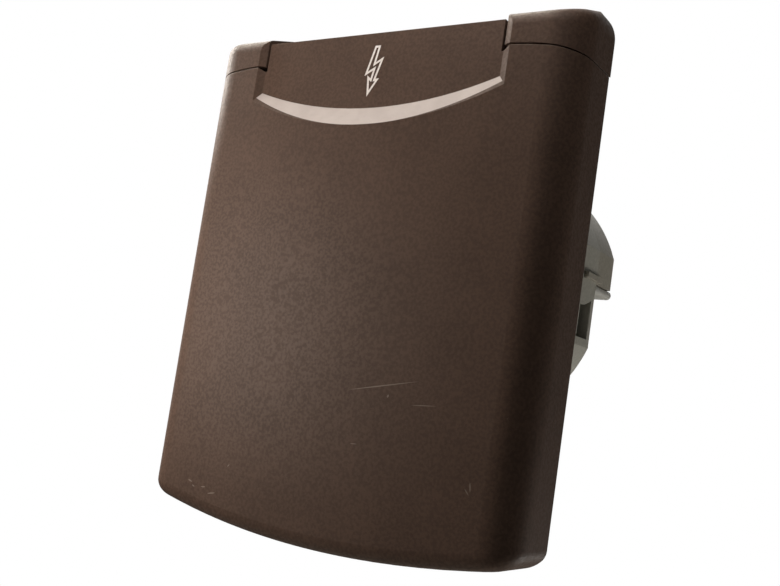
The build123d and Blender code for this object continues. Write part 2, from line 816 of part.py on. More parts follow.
# Block screws: two screws from the rear into the insert
with BuildPart() as block_screws:
    for side in (-1, 1):
        with BuildSketch(at_depth(block_back)):
            with Locations((side * block_screw_x, -side * block_screw_z)):
                Circle(block_screw_radius)
        extrude(amount=block_length + block_screw_bite)
        with BuildSketch(at_depth(block_back)):
            with Locations((side * block_screw_x, -side * block_screw_z)):
                Circle(block_screw_head)
        extrude(amount=-screw_head_rise)
        with BuildSketch(at_depth(block_back + screw_head_rise)):
            with Locations((side * block_screw_x, -side * block_screw_z)):
                Rectangle(2 * block_screw_head, slot_width)
        extrude(amount=slot_depth, mode=Mode.SUBTRACT)
block_screws.part.label = "block_screws"
export_step(block_screws.part, "parts/block_screws.step")

# Live and neutral contacts: a slotted sleeve for the plug's pin, with a screw terminal behind the block
terminal_back = block_back + terminal_length
for side, name in ((-1, "live_contact"), (1, "neutral_contact")):
    x = side * pin_spacing / 2
    with BuildPart() as contact:
        with BuildSketch(at_depth(block_back)):
            with Locations((x, 0)):
                Circle(sleeve_radius)
                Circle(sleeve_radius - sleeve_wall, mode=Mode.SUBTRACT)
                Rectangle(sleeve_slot, 2 * sleeve_radius, mode=Mode.SUBTRACT)
        extrude(amount=block_length - contact_clearance)
        with BuildSketch(at_depth(block_back)):
            with Locations((x, 0)):
                Rectangle(terminal_width, terminal_height)
        extrude(amount=-terminal_length)
        with BuildSketch(at_depth(terminal_back)):
            with Locations((x, 0)):
                Circle(terminal_screw_radius + fit_clearance)
        extrude(amount=terminal_length - terminal_floor, mode=Mode.SUBTRACT)
        with BuildSketch(Plane.XY.offset(-terminal_height / 2)):
            with Locations((x, block_back + terminal_floor + wire_hole)):
                Circle(wire_hole)
        extrude(amount=terminal_height, mode=Mode.SUBTRACT)
    contact.part.label = name
    export_step(contact.part, f"parts/{name}.step")

# Earth contact: one bent strip with a sprung clip at each side of the well and a terminal in the middle
strip_outer = block_radius + contact_clearance + strip_thickness / 2
clip_seat = well_radius + strip_thickness / 2 + contact_clearance
with BuildPart() as earth_contact:
    with BuildSketch(Plane.YZ.offset(-strip_width / 2)):
        with BuildLine():
            half_strip = [
                (face_front + clip_bulge, clip_seat),
                (face_front + 3 * clip_bulge, clip_seat - clip_bulge),
                (face_front + 5 * clip_bulge, clip_seat),
                (insert_back + strip_thickness, clip_seat),
                (insert_back + 3 * strip_thickness, strip_outer),
                (block_back + strip_thickness / 2 + contact_clearance, strip_outer),
            ]
            Polyline(*half_strip, *[(y, -z) for y, z in reversed(half_strip)])
        trace(line_width=strip_thickness)
    extrude(amount=strip_width)
    with BuildSketch(at_depth(block_back + strip_thickness / 2)):
        Rectangle(strip_width, terminal_height)
    extrude(amount=-(terminal_length - strip_thickness / 2))
    with BuildSketch(at_depth(terminal_back)):
        Circle(terminal_screw_radius + fit_clearance)
    extrude(amount=terminal_length - terminal_floor, mode=Mode.SUBTRACT)
    with BuildSketch(Plane.XY.offset(-terminal_height / 2)):
        with Locations((0, block_back + terminal_floor + wire_hole)):
            Circle(wire_hole)
    extrude(amount=terminal_height, mode=Mode.SUBTRACT)
earth_contact.part.label = "earth_contact"
export_step(earth_contact.part, "parts/earth_contact.step")

# Terminal screws: one slotted cheese-head screw in each terminal
for place, name in ((-1, "live_screw"), (0, "earth_screw"), (1, "neutral_screw")):
    x = place * pin_spacing / 2
    with BuildPart() as screw:
        with BuildSketch(at_depth(terminal_back)):
            with Locations((x, 0)):
                Circle(terminal_screw_radius)
        extrude(amount=terminal_length - terminal_floor - 2 * wire_hole)
        with BuildSketch(at_depth(terminal_back)):
            with Locations((x, 0)):
                Circle(terminal_screw_head)
        extrude(amount=-terminal_screw_rise)
        with BuildSketch(at_depth(terminal_back + terminal_screw_rise)):
            with Locations((x, 0)):
                Rectangle(2 * terminal_screw_head, slot_width)
        extrude(amount=slot_depth, mode=Mode.SUBTRACT)
    screw.part.label = name
    export_step(screw.part, f"parts/{name}.step")
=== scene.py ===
import math

import bmesh
import bpy
from mathutils import Matrix, Vector


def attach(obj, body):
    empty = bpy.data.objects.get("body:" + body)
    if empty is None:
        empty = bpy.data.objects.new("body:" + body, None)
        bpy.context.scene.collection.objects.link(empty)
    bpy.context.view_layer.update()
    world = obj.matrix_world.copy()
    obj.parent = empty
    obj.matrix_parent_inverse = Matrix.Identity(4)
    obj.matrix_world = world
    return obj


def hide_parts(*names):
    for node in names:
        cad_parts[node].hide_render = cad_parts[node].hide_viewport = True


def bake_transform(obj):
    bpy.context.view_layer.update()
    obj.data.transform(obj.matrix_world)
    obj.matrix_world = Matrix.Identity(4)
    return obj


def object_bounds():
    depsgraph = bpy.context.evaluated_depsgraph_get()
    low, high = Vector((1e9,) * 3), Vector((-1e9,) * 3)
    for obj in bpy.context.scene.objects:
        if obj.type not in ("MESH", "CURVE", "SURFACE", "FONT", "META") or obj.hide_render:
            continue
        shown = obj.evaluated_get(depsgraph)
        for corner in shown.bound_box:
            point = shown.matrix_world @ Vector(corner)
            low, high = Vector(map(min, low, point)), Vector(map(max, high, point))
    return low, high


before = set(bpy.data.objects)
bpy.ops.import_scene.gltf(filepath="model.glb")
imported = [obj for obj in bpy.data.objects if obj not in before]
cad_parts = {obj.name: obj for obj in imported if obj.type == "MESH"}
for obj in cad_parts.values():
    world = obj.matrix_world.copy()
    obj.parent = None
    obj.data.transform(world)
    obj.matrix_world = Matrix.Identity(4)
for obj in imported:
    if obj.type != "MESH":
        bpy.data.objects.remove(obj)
cad_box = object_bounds()

# Back box: the drum that passes through the wall and holds the wiring, moulded in satin grey-olive
# plastic. Four screws through the plate hold it. The mould's spark-eroded grain shows as a fine
# speckle, and the edges are a little rubbed, with a painted highlight along them in patches.
MM = 0.001
FLOAT = "NodeSocketFloat"
VECTOR = "NodeSocketVector"


def feed(tree, socket, value):
    """Gives a node's input its value, or links it where the value is another node's output."""
    if isinstance(value, bpy.types.NodeSocket):
        tree.links.new(value, socket)
    elif value is not None:
        socket.default_value = value


def node(tree, kind, place, **inputs):
    """Adds one shader node with the inputs that are given by name."""
    made = tree.nodes.new(kind)
    made.location = place
    for name, value in inputs.items():
        feed(tree, made.inputs[name.replace("_", " ")], value)
    return made


def math_node(tree, operation, place, first, second=None):
    """Adds one Math node and returns its result."""
    made = node(tree, "ShaderNodeMath", place)
    made.operation = operation
    for socket, value in zip(made.inputs, (first, second)):
        feed(tree, socket, value)
    return made.outputs[0]


def vector_node(tree, operation, place, first, second=None, scale=None):
    """Adds one Vector Math node and returns its result, which is a number or a vector."""
    made = node(tree, "ShaderNodeVectorMath", place)
    made.operation = operation
    for socket, value in zip((made.inputs[0], made.inputs[1], made.inputs[3]), (first, second, scale)):
        feed(tree, socket, value)
    gives_number = operation in ("DOT_PRODUCT", "DISTANCE", "LENGTH")
    return made.outputs["Value" if gives_number else "Vector"]


def ramp(tree, place, value, low, high):
    """Maps a value to 0 at low and 1 at high, smoothly, and returns the result."""
    made = node(tree, "ShaderNodeMapRange", place, Value=value, From_Min=low, From_Max=high)
    made.interpolation_type = "SMOOTHSTEP"
    return made.outputs["Result"]


def spread(tree, place, value, low, high):
    """Maps a mask to a range of values and returns the result."""
    return node(tree, "ShaderNodeMapRange", place, Value=value, To_Min=low, To_Max=high).outputs["Result"]


def noise(tree, place, coordinates, scale, detail=2.0):
    """Adds one noise texture and returns its value."""
    made = node(tree, "ShaderNodeTexNoise", place, Vector=coordinates, Scale=scale, Detail=detail)
    return made.outputs["Fac"]


def mix_colour(tree, place, factor, first, second):
    """Mixes two colours and returns the result."""
    made = node(tree, "ShaderNodeMix", place)
    made.data_type = "RGBA"
    for socket, value in zip((made.inputs[0], made.inputs[6], made.inputs[7]), (factor, first, second)):
        feed(tree, socket, value)
    return made.outputs[2]


def new_group(name, inputs, outputs):
    """Starts a shader node group with inputs, their values, and outputs; coordinates are its first input."""
    group = bpy.data.node_groups.new(name, "ShaderNodeTree")
    group.interface.new_socket("Coordinates", in_out="INPUT", socket_type=VECTOR)
    for title, value in inputs.items():
        kind = VECTOR if isinstance(value, tuple) else FLOAT
        group.interface.new_socket(title, in_out="INPUT", socket_type=kind).default_value = value
    for title, kind in outputs.items():
        group.interface.new_socket(title, in_out="OUTPUT", socket_type=kind)
    return group, group.nodes.new("NodeGroupInput").outputs, group.nodes.new("NodeGroupOutput").inputs


def place_group(tree, group, place, coordinates, **values):
    """Places a node group in a material with its own values and returns its outputs."""
    made = node(tree, "ShaderNodeGroup", place)
    made.node_tree = group
    feed(tree, made.inputs["Coordinates"], coordinates)
    for name, value in values.items():
        feed(tree, made.inputs[name.replace("_", " ")], value)
    return made.outputs


# Moulded grain: the fine texture that a spark-eroded mould leaves, broad soft mottling, and rare
# bright specks of dust, which lie in loose clusters
grain_per_mm = 1.15
mottle_per_mm = 0.05
speckle_limits = (0.35, 0.65)
mottle_limits = (0.3, 0.7)
dust_per_mm = 0.16
cluster_per_mm = 0.05
dust_size_range = (-0.08, 0.11)
grain, grain_in, grain_out = new_group(
    "moulded_grain",
    {"Grain per mm": grain_per_mm, "Mottle per mm": mottle_per_mm},
    {"Height": FLOAT, "Speckle": FLOAT, "Mottle": FLOAT, "Specks": FLOAT},
)
grain_coords = grain_in["Coordinates"]
grain_scale = math_node(grain, "MULTIPLY", (0, 0), grain_in["Grain per mm"], 1 / MM)
mottle_scale = math_node(grain, "MULTIPLY", (0, -200), grain_in["Mottle per mm"], 1 / MM)
fine = noise(grain, (200, 0), grain_coords, grain_scale)
broad = noise(grain, (200, -200), grain_coords, mottle_scale, detail=3.0)
dust = node(grain, "ShaderNodeTexVoronoi", (200, -400), Vector=grain_coords, Scale=dust_per_mm / MM)
cluster = noise(grain, (200, -700), grain_coords, cluster_per_mm / MM)
dust_size = spread(grain, (400, -700), cluster, *dust_size_range)
dust_mask = math_node(grain, "LESS_THAN", (600, -500), dust.outputs["Distance"], dust_size)
grain.links.new(fine, grain_out["Height"])
grain.links.new(ramp(grain, (400, 0), fine, *speckle_limits), grain_out["Speckle"])
grain.links.new(ramp(grain, (400, -200), broad, *mottle_limits), grain_out["Mottle"])
grain.links.new(dust_mask, grain_out["Specks"])

# Softened edge: the moulding's small edge radius as a bent normal, and a mask of the strip along
# it, in patches, where the edge is painted lighter for rubbed wear and as a painted highlight
edge_radius_mm = 0.3
rub_per_mm = 0.5
bend_limits = (0.995, 0.93)
rub_limits = (0.42, 0.66)
edge, edge_in, edge_out = new_group(
    "softened_edge",
    {"Radius mm": edge_radius_mm, "Rub per mm": rub_per_mm},
    {"Normal": VECTOR, "Rubbed_and_lit": FLOAT},
)
edge_radius = math_node(edge, "MULTIPLY", (0, 0), edge_in["Radius mm"], MM)
bent_normal = node(edge, "ShaderNodeBevel", (200, 0), Radius=edge_radius).outputs["Normal"]
flat_normal = edge.nodes.new("ShaderNodeNewGeometry").outputs["Normal"]
agreement = vector_node(edge, "DOT_PRODUCT", (400, -100), bent_normal, flat_normal)
edge_strip = ramp(edge, (600, -100), agreement, *bend_limits)
rub_scale = math_node(edge, "MULTIPLY", (0, -300), edge_in["Rub per mm"], 1 / MM)
rub_noise = noise(edge, (200, -300), edge_in["Coordinates"], rub_scale, detail=3.0)
wear_highlight_patches = ramp(edge, (400, -300), rub_noise, *rub_limits)
edge.links.new(bent_normal, edge_out["Normal"])
edge.links.new(math_node(edge, "MULTIPLY", (800, -200), edge_strip, wear_highlight_patches), edge_out["Rubbed_and_lit"])

# Satin plastic: how far the grain and the mottle lighten the tone, how far wear, dust and the painted
# edge highlight cover it, and how much duller and glossier the grain's low and high spots are
grain_share = 0.7
mottle_share = 0.3
wear_and_highlight_share = 0.45
grain_duller = 0.06
grain_glossier = 0.05
grain_depth = 0.035


def new_material(name):
    """Starts a material and returns it with its node tree, its shader and the piece's coordinates."""
    material = bpy.data.materials.new(name)
    material.use_nodes = True
    tree = material.node_tree
    coords = tree.nodes.new("ShaderNodeTexCoord").outputs["Object"]
    return material, tree, tree.nodes["Principled BSDF"], coords


def add_bump(tree, shader, height, depth_mm, normal=None):
    """Roughens a surface by a height map, over a bent normal where one is given."""
    bump = node(tree, "ShaderNodeBump", (-200, -300), Height=height, Distance=depth_mm * MM, Normal=normal)
    tree.links.new(bump.outputs["Normal"], shader.inputs["Normal"])


def moulded_plastic(name, dark, light, rubbed_and_lit, roughness, specular=0.3, edge_mm=edge_radius_mm):
    """Satin moulded plastic: two close tones, a fine grain, specks of dust and softened edges, rubbed and
    painted lighter as a highlight.
    """
    material, tree, shader, coords = new_material(name)
    shader.inputs["Specular IOR Level"].default_value = specular
    texture = place_group(tree, grain, (-1100, 0), coords)
    edges = place_group(tree, edge, (-1100, -400), coords, Radius_mm=edge_mm)
    from_grain = spread(tree, (-900, 300), texture["Speckle"], 0.0, grain_share)
    from_mottle = spread(tree, (-900, 100), texture["Mottle"], 0.0, mottle_share)
    lightness = math_node(tree, "ADD", (-700, 300), from_grain, from_mottle)
    tone = mix_colour(tree, (-500, 200), lightness, (*dark, 1), (*light, 1))
    dust_wear_and_highlight = math_node(tree, "MAXIMUM", (-700, 0), edges["Rubbed_and_lit"], texture["Specks"])
    dust_wear_and_highlight = math_node(tree, "MULTIPLY", (-500, 0), dust_wear_and_highlight, wear_and_highlight_share)
    # the lighter edge tone is rubbed wear and partly a painted edge highlight; the dust specks share it
    tone = mix_colour(tree, (-300, 200), dust_wear_and_highlight, tone, (*rubbed_and_lit, 1))
    tree.links.new(tone, shader.inputs["Base Color"])
    duller, glossier = roughness + grain_duller, roughness - grain_glossier
    gloss = spread(tree, (-500, -150), texture["Speckle"], duller, glossier)
    tree.links.new(gloss, shader.inputs["Roughness"])
    add_bump(tree, shader, texture["Height"], grain_depth, edges["Normal"])
    return material


def dress(node_name, material):
    """Gives a solid's object its finish."""
    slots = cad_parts[node_name].data.materials
    slots.clear()
    slots.append(material)


housing_grey = moulded_plastic(
    "housing_grey",
    dark=(0.37, 0.36, 0.315),
    light=(0.43, 0.42, 0.37),
    rubbed_and_lit=(0.52, 0.51, 0.46),
    roughness=0.42,
)
dress("back_box", housing_grey)

# Terminal cover: the deeper half cap over the terminals, moulded in the same grey plastic as the
# drum, a shade browner. A snap tab with a hook on each of the drum's flats holds it.
cover_grey = moulded_plastic(
    "cover_grey",
    dark=(0.32, 0.3, 0.25),
    light=(0.38, 0.355, 0.3),
    rubbed_and_lit=(0.48, 0.45, 0.4),
    roughness=0.4,
)
dress("terminal_cover", cover_grey)

# Cable clamp: a bar with rounded ends under the cover's sill, moulded in a paler grey plastic. Two
# screws draw it up to the sill, so that it grips the cable between them.
clamp_grey = moulded_plastic(
    "clamp_grey",
    dark=(0.46, 0.455, 0.425),
    light=(0.53, 0.525, 0.495),
    rubbed_and_lit=(0.6, 0.59, 0.57),
    roughness=0.4,
)
dress("cable_clamp", clamp_grey)

# Cable grommet: a moulded bush of black rubber, pushed through the clamp and the sill, which seals
# round the cable. Its skin is matt and finely pored, with a little dust.
rubber_specular = 0.25
rubber_roughness = (0.68, 0.82)
rubber_dust = (2.2, 2.1, 2.0)


def soft_rubber(name, shade, pores_per_mm, depth_mm):
    """Matt black rubber or foam with a pored surface and a little dust."""
    material, tree, shader, coords = new_material(name)
    shader.inputs["Specular IOR Level"].default_value = rubber_specular
    texture = place_group(tree, grain, (-700, 0), coords, Grain_per_mm=pores_per_mm)
    black = (shade, shade, shade, 1)
    dusty = (*(gain * shade for gain in rubber_dust), 1)
    tone = mix_colour(tree, (-400, 200), texture["Mottle"], black, dusty)
    tree.links.new(tone, shader.inputs["Base Color"])
    gloss = spread(tree, (-400, -100), texture["Speckle"], *rubber_roughness)
    tree.links.new(gloss, shader.inputs["Roughness"])
    add_bump(tree, shader, texture["Height"], depth_mm)
    return material


rubber_black = soft_rubber("rubber_black", shade=0.018, pores_per_mm=2.0, depth_mm=0.03)
dress("cable_grommet", rubber_black)

# Screws: those of the clamp, the box, the block and the terminals are turned from steel and bright
# zinc plated against the damp. The plating is a little cloudy, with fine marks.
marks_per_mm = 5.0
clouds_per_mm = 0.5
mark_glossier = 0.06
mark_duller = 0.08
mark_depth = 0.006


def plated_metal(name, dark, light, roughness):
    """Plated metal with a faint cloudy tone and fine marks."""
    material, tree, shader, coords = new_material(name)
    shader.inputs["Metallic"].default_value = 1.0
    texture = place_group(
        tree, grain, (-700, 0), coords, Grain_per_mm=marks_per_mm, Mottle_per_mm=clouds_per_mm
    )
    tone = mix_colour(tree, (-400, 200), texture["Mottle"], (*dark, 1), (*light, 1))
    tree.links.new(tone, shader.inputs["Base Color"])
    glossier, duller = roughness - mark_glossier, roughness + mark_duller
    gloss = spread(tree, (-400, -100), texture["Speckle"], glossier, duller)
    tree.links.new(gloss, shader.inputs["Roughness"])
    add_bump(tree, shader, texture["Height"], mark_depth)
    return material


zinc_steel = plated_metal("zinc_steel", dark=(0.5, 0.49, 0.46), light=(0.66, 0.65, 0.62), roughness=0.32)
for screws in ("clamp_screws", "box_screws", "block_screws", "live_screw", "neutral_screw", "earth_screw"):
    dress(screws, zinc_steel)

# Contact block: the carrier that holds the two sleeves apart, moulded in a pale, matt plastic with
# a slight mottle. Two screws from the rear hold it to the insert.
block_pale = moulded_plastic(
    "block_pale",
    dark=(0.46, 0.43, 0.36),
    light=(0.56, 0.53, 0.45),
    rubbed_and_lit=(0.66, 0.63, 0.56),
    roughness=0.5,
)
dress("contact_block", block_pale)

# Contacts: two slotted sleeves with screw terminals, turned from brass and held in the block, and
# one strip bent from brass sheet, with a sprung earth clip at each side of the plug well.
contact_brass = plated_metal(
    "contact_brass", dark=(0.62, 0.43, 0.16), light=(0.76, 0.56, 0.24), roughness=0.3
)
for contact in ("live_contact", "neutral_contact", "earth_contact"):
    dress(contact, contact_brass)

# Socket insert: the round face with the plug well, moulded in a smooth plastic, darker than the
# frame. It is clamped between the plate and the drum.
insert_dark = moulded_plastic(
    "insert_dark",
    dark=(0.03, 0.026, 0.023),
    light=(0.04, 0.035, 0.031),
    rubbed_and_lit=(0.1, 0.09, 0.08),
    roughness=0.36,
    specular=0.4,
)
dress("socket_insert", insert_dark)

# Wall gasket: a flat band cut from black foam, laid in the groove of the plate's back. The wall
# screws press it to the wall, and it keeps the rain out.
foam_black = soft_rubber("foam_black", shade=0.022, pores_per_mm=1.2, depth_mm=0.15)
dress("wall_gasket", foam_black)

# Mounting frame: the wall plate with its collar, the two hinge ears and the bridge between them,
# moulded in one piece in the same satin dark brown as the lid. Four screws hold it to the wall.
brown_finish = {
    "dark": (0.073, 0.0462, 0.0346),
    "light": (0.106, 0.0672, 0.0502),
    # the edges' lighter tone: worn brown, and partly a painted highlight along the edges
    "rubbed_and_lit": (0.2, 0.15, 0.115),
    "roughness": 0.5,
    "specular": 0.12,
}
frame_brown = moulded_plastic("frame_brown", **brown_finish)
dress("mounting_frame", frame_brown)

# Hinge pin: a rod of ground steel, zinc plated as the screws are. It is pressed into the lid's
# knuckle and turns in the ears.
dress("hinge_pin", zinc_steel)

# Lid spring: a torsion coil of bright spring wire on the pin. One leg stays in the frame's bridge and
# the other turns with the lid, which winds the coil up as the lid opens; here it is built as one fixed coil.
pin_height = 59.9
pin_depth = -18.4
coil_radius = 1.8
coil_pitch = 1.5
coil_turns = 4.25
turn_steps = 24
wire_radius = 0.35
wire_sides = 12
lid_leg = 7.0
frame_leg = 6.1
weld_gap = 0.001


def only(kind, geometry):
    """The elements of one kind, such as the points, in a list of mesh elements."""
    return [element for element in geometry if isinstance(element, kind)]


def add_piece(name, bm, material):
    """Turns a finished mesh into an object with its finish."""
    mesh = bpy.data.meshes.new(name)
    bm.to_mesh(mesh)
    bm.free()
    mesh.materials.append(material)
    piece = bpy.data.objects.new(name, mesh)
    bpy.context.scene.collection.objects.link(piece)
    return piece


coil_half = coil_turns * coil_pitch / 2
lead = Vector((coil_pitch / math.tau, -coil_radius, 0)).normalized()
coil_start = Vector((-coil_half, pin_depth, pin_height + coil_radius))
leg_end = Matrix.Translation((coil_start - frame_leg * lead) * MM)
facing = lead.to_track_quat("Z", "X").to_matrix().to_4x4()
bm = bmesh.new()
bmesh.ops.create_circle(
    bm, cap_ends=True, segments=wire_sides, radius=wire_radius * MM, matrix=leg_end @ facing
)
ring = bmesh.ops.extrude_edge_only(bm, edges=bm.edges[:])["geom"]
ring_verts = only(bmesh.types.BMVert, ring)
bmesh.ops.translate(bm, verts=ring_verts, vec=frame_leg * lead * MM)
ring_edges = [e for e in only(bmesh.types.BMEdge, ring) if set(e.verts) <= set(ring_verts)]
wound = bmesh.ops.spin(
    bm,
    geom=ring_verts + ring_edges,
    cent=(0, pin_depth * MM, pin_height * MM),
    axis=(1, 0, 0),
    dvec=(coil_pitch * MM / turn_steps, 0, 0),
    angle=coil_turns * math.tau,
    steps=round(coil_turns * turn_steps),
)["geom_last"]
ring = bmesh.ops.extrude_edge_only(bm, edges=only(bmesh.types.BMEdge, wound))["geom"]
lid_lead = Vector((lead.x, 0, lead.y))
bmesh.ops.translate(bm, verts=only(bmesh.types.BMVert, ring), vec=lid_lead * lid_leg * MM)
bmesh.ops.holes_fill(bm, edges=bm.edges[:], sides=0)
bmesh.ops.remove_doubles(bm, verts=bm.verts, dist=weld_gap * MM)
bmesh.ops.recalc_face_normals(bm, faces=bm.faces[:])
for face in bm.faces:
    face.smooth = len(face.verts) == 4
spring_steel = plated_metal(
    "spring_steel", dark=(0.42, 0.41, 0.39), light=(0.56, 0.55, 0.53), roughness=0.28
)
wound_spring = add_piece("wound_spring", bm, spring_steel)
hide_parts("lid_spring")
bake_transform(wound_spring)

# Lid seal: a moulded ring of the same black rubber as the grommet, fixed on the end of the rib
# inside the lid. When the lid is shut, it meets the frame's collar.
dress("lid_seal", rubber_black)

# Lid: the weather lid, moulded in satin dark brown and hung on the pin. The crescent under its
# recess, which faces a little upward, is painted pale as a painted highlight of the light from above,
# and years of use have left a long fine scratch, some short ones and scuffs near the lower edge.
lid_brown = moulded_plastic("lid_brown", **brown_finish)
lid_tree = lid_brown.node_tree
lid_shader = lid_tree.nodes["Principled BSDF"]
lid_tone = lid_shader.inputs["Base Color"].links[0].from_socket
lid_coords = lid_tree.nodes.new("ShaderNodeTexCoord").outputs
lid_parts = node(lid_tree, "ShaderNodeSeparateXYZ", (-1300, 1000), Vector=lid_coords["Object"]).outputs
lid_facing = node(lid_tree, "ShaderNodeSeparateXYZ", (-1300, 1200), Vector=lid_coords["Normal"]).outputs
front_depth = -20.5
on_front = math_node(lid_tree, "LESS_THAN", (-1100, 1000), lid_parts["Y"], front_depth * MM)

# Scratch mark: a straight scratch between two points of the front, widest half way and pointed at
# both ends
scratch_fade = (1.0, 0.4)
taper_gain = 2.0
least_width = 0.001
scratch, scratch_in, scratch_out = new_group(
    "scratch_mark", {"Start": (0.0, 0.0, 0.0), "End": (0.0, 0.0, 0.0), "Width mm": 0.2}, {"Mask": FLOAT}
)
scratch_start = scratch_in["Start"]
scratch_run = vector_node(scratch, "SUBTRACT", (0, 0), scratch_in["End"], scratch_start)
from_start = vector_node(scratch, "SUBTRACT", (0, -200), scratch_in["Coordinates"], scratch_start)
along = vector_node(scratch, "DOT_PRODUCT", (200, -100), from_start, scratch_run)
run_square = vector_node(scratch, "DOT_PRODUCT", (200, 100), scratch_run, scratch_run)
way = math_node(scratch, "DIVIDE", (400, 0), along, run_square)
way = node(scratch, "ShaderNodeClamp", (500, 0), Value=way).outputs[0]
foot = vector_node(scratch, "SCALE", (600, -100), scratch_run, scale=way)
offset = vector_node(scratch, "DISTANCE", (700, -200), from_start, foot)
way_left = math_node(scratch, "SUBTRACT", (500, 250), 1.0, way)
taper = math_node(scratch, "MULTIPLY", (600, 200), way, way_left)
half_width = math_node(scratch, "MULTIPLY", (700, 200), taper, scratch_in["Width mm"])
half_width = math_node(scratch, "MULTIPLY", (800, 200), half_width, taper_gain * MM)
half_width = math_node(scratch, "ADD", (850, 200), half_width, least_width * MM)
nearness = math_node(scratch, "DIVIDE", (900, 0), offset, half_width)
scratch.links.new(ramp(scratch, (1000, 0), nearness, *scratch_fade), scratch_out["Mask"])

# Scratches on the front: start and end, each across and up, and the width, all in millimetres
scratch_list = (
    ((10.1, -42.6), (32.4, -37.8), 0.42),
    ((30.6, -44.4), (38.6, -43.7), 0.3),
    ((23.0, -43.3), (23.4, -42.4), 0.8),
    ((51.0, -61.6), (51.4, -64.2), 0.55),
    ((49.7, -63.4), (51.1, -65.0), 0.4),
    ((13.2, -57.2), (15.6, -57.0), 0.3),
    ((-45.4, -76.6), (-43.6, -77.0), 0.6),
    ((-43.4, -77.9), (-42.2, -78.3), 0.5),
    ((-39.6, -77.9), (-37.6, -77.6), 0.5),
    ((-36.4, -79.4), (-33.2, -78.7), 0.6),
    ((-30.0, -70.3), (-29.2, -69.5), 0.5),
)
scratch_tone = (0.3, 0.25, 0.21)
scratch_strength = 0.55
front_coords = node(
    lid_tree, "ShaderNodeMapping", (-1300, 700), Vector=lid_coords["Object"], Scale=(1.0, 0.0, 1.0)
).outputs[0]
scratched = 0.0
for start, end, width in scratch_list:
    mark = place_group(
        lid_tree,
        scratch,
        (-1000, 700),
        front_coords,
        Start=(start[0] * MM, 0.0, start[1] * MM),
        End=(end[0] * MM, 0.0, end[1] * MM),
        Width_mm=width,
    )["Mask"]
    scratched = math_node(lid_tree, "MAXIMUM", (-800, 700), scratched, mark)
scratched = math_node(lid_tree, "MULTIPLY", (-600, 700), scratched, on_front)
scratched = math_node(lid_tree, "MULTIPLY", (-500, 700), scratched, scratch_strength)
lid_tone = mix_colour(lid_tree, (-300, 600), scratched, lid_tone, (*scratch_tone, 1))

# Painted highlight on the crescent: the part of the recess's border that faces a little upward, under
# the floor's edge and over an arc that rises from the middle to both sides, is painted pale in place of
# the light from above that it catches, with a faint cloud in the painted highlight
highlight_tilt = (0.16, 0.24)
crescent_top = 47.4
crescent_foot = 34.2
crescent_rise = 0.0057
highlight_dark = (0.47, 0.41, 0.39)
highlight_light = (0.53, 0.47, 0.445)
highlight_clouds_per_mm = 0.15
# the painted highlight goes where the border's normal tilts upward, towards the light
tilted_up = ramp(lid_tree, (-1100, 1200), lid_facing["Z"], *highlight_tilt)
under_floor = math_node(lid_tree, "LESS_THAN", (-1100, 1400), lid_parts["Z"], crescent_top * MM)
arc_rise = math_node(lid_tree, "MULTIPLY", (-1300, 1600), lid_parts["X"], lid_parts["X"])
arc_rise = math_node(lid_tree, "MULTIPLY", (-1200, 1600), arc_rise, crescent_rise / MM)
over_arc = math_node(lid_tree, "SUBTRACT", (-1100, 1600), lid_parts["Z"], arc_rise)
over_arc = math_node(lid_tree, "GREATER_THAN", (-1000, 1600), over_arc, crescent_foot * MM)
crescent_highlight = math_node(lid_tree, "MULTIPLY", (-900, 1200), tilted_up, under_floor)
crescent_highlight = math_node(lid_tree, "MULTIPLY", (-800, 1300), crescent_highlight, over_arc)
crescent_highlight = math_node(lid_tree, "MULTIPLY", (-700, 1200), crescent_highlight, on_front)
highlight_texture = place_group(
    lid_tree, grain, (-900, 1600), lid_coords["Object"], Mottle_per_mm=highlight_clouds_per_mm
)
painted_highlight = mix_colour(
    lid_tree, (-600, 1400), highlight_texture["Mottle"], (*highlight_dark, 1), (*highlight_light, 1)
)
# the pale painted highlight is laid over the brown on the upward-facing crescent
lid_tone = mix_colour(lid_tree, (-150, 600), crescent_highlight, lid_tone, painted_highlight)
lid_tree.links.new(lid_tone, lid_shader.inputs["Base Color"])
dress("lid", lid_brown)

# Bolt mark: a plain white zigzag arrow printed in outline on the recess floor, as a film of ink a
# twentieth of a millimetre thick. Its corners are given across and up, in millimetres.
bolt_floor = -21.6
bolt_line = 0.62
bolt_film = 0.05
bolt_corners = (
    (-0.62, 59.15),
    (1.3, 59.12),
    (0.36, 54.0),
    (3.05, 55.5),
    (1.08, 48.85),
    (2.3, 49.0),
    (-1.2, 43.6),
    (-1.98, 50.1),
    (-0.72, 49.1),
    (-0.22, 51.55),
    (-3.05, 50.0),
)
bm = bmesh.new()
bolt_face = bm.faces.new([bm.verts.new((x * MM, bolt_floor * MM, z * MM)) for x, z in bolt_corners])
bm.normal_update()
bmesh.ops.inset_region(
    bm, faces=[bolt_face], thickness=bolt_line * MM, use_boundary=True, use_even_offset=True
)
bmesh.ops.delete(bm, geom=[bolt_face], context="FACES_ONLY")
film = bmesh.ops.extrude_face_region(bm, geom=bm.faces[:])["geom"]
bmesh.ops.translate(bm, verts=only(bmesh.types.BMVert, film), vec=(0, -bolt_film * MM, 0))
bmesh.ops.recalc_face_normals(bm, faces=bm.faces[:])
bolt_white = moulded_plastic(
    "bolt_white",
    dark=(0.78, 0.73, 0.7),
    light=(0.86, 0.81, 0.78),
    rubbed_and_lit=(0.6, 0.55, 0.52),
    roughness=0.5,
    edge_mm=0.02,
)
bolt_mark = add_piece("bolt_mark", bm, bolt_white)
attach(bolt_mark, "lid")

# Floor: a wide sweep of matt, pale board, well under the part. Near the part it keeps the part's
# shadow, and farther away it fades to plain white.
floor_size = 8.0
floor_drop = 0.35
floor_tone = (0.8, 0.79, 0.77)
floor_roughness = 0.9
floor_fade = (0.12, 0.75)


